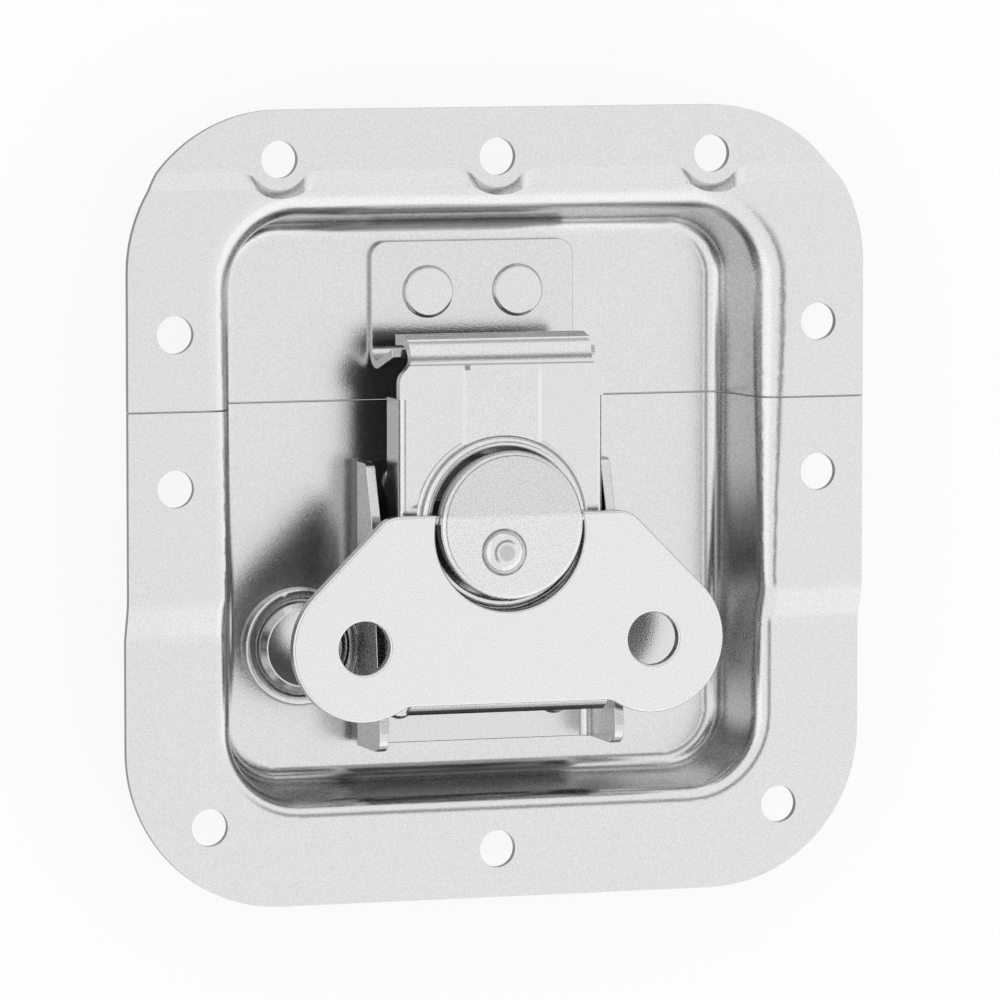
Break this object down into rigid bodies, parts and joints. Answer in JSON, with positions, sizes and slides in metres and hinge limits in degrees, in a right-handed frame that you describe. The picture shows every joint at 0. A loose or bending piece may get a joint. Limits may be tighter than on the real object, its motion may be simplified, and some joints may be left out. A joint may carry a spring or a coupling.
{
  "type": "recessed butterfly latch",
  "caption": "Recessed twist latch for a road case: a two-part pressed dish, a riveted keeper and a hook plate drawn by a cam with a folding wing.",
  "frame": {"origin": "middle of the seam between the two dish halves, on the back face of the flange's raised band, which is the centre of the four side rivet holes", "axes": "+Z out of the dish towards the user, +Y towards the lid half, +X right"},
  "size_m": [0.109, 0.112, 0.0232],
  "materials": {
    "dish_zinc": "bright zinc-plated pressed steel, fine grain",
    "plate_zinc": "bright zinc-plated pressed steel",
    "hook_zinc": "bright zinc-plated pressed steel",
    "wing_zinc": "bright zinc-plated pressed steel, satin face",
    "disc_zinc": "bright zinc-plated steel, satin face",
    "rivet_steel": "zinc-plated rivet steel, polished by setting",
    "turned_steel": "turned steel, zinc-plated",
    "spring_steel": "hardened spring steel",
    "bush_bronze": "sintered bronze"
  },
  "bodies": {
    "base": {"lower_dish": "dish_zinc", "base_plate": "plate_zinc", "guide_bracket": "plate_zinc", "pivot_bush": "bush_bronze", "spring_washer": "spring_steel", "base_rivet_left": "rivet_steel", "base_rivet_right": "rivet_steel", "bracket_rivet_upper_left": "rivet_steel", "bracket_rivet_upper_right": "rivet_steel", "bracket_rivet_lower_left": "rivet_steel", "bracket_rivet_lower_right": "rivet_steel"},
    "cam": {"cam_shaft": "turned_steel", "pivot_clip": "spring_steel", "wing_carrier": "turned_steel", "cam_disc": "disc_zinc", "cam_rivet": "rivet_steel"},
    "wing": {"butterfly_wing": "wing_zinc"},
    "hook": {"hook_plate": "hook_zinc", "slider_plate": "plate_zinc"},
    "lid": {"upper_dish": "dish_zinc", "keeper_plate": "plate_zinc", "keeper_rivet_left": "rivet_steel", "keeper_rivet_right": "rivet_steel"}
  },
  "joints": [
    {"name": "cam_turn", "type": "hinge", "parent": "base", "child": "cam", "pos_m": [0, -0.0167, 0], "axis": [0, 0, 1], "range_deg": [0, 180]},
    {"name": "wing_fold", "type": "hinge", "parent": "cam", "child": "wing", "pos_m": [0, -0.0159, 0.00455], "axis": [-1, 0, 0], "range_deg": [0, 90]},
    {"name": "hook_draw", "type": "slide", "parent": "base", "child": "hook", "axis": [0, 1, 0], "range_m": [0, 0.0074]},
    {"name": "lid_draw", "type": "slide", "parent": "base", "child": "lid", "axis": [0, 1, 0], "range_m": [0, 0.0074]}
  ],
  "couplings": [
    {"joint": "hook_draw", "follows": "cam_turn", "m_per_rad": 0.0023554},
    {"joint": "lid_draw", "follows": "cam_turn", "m_per_rad": 0.0023554}
  ]
}
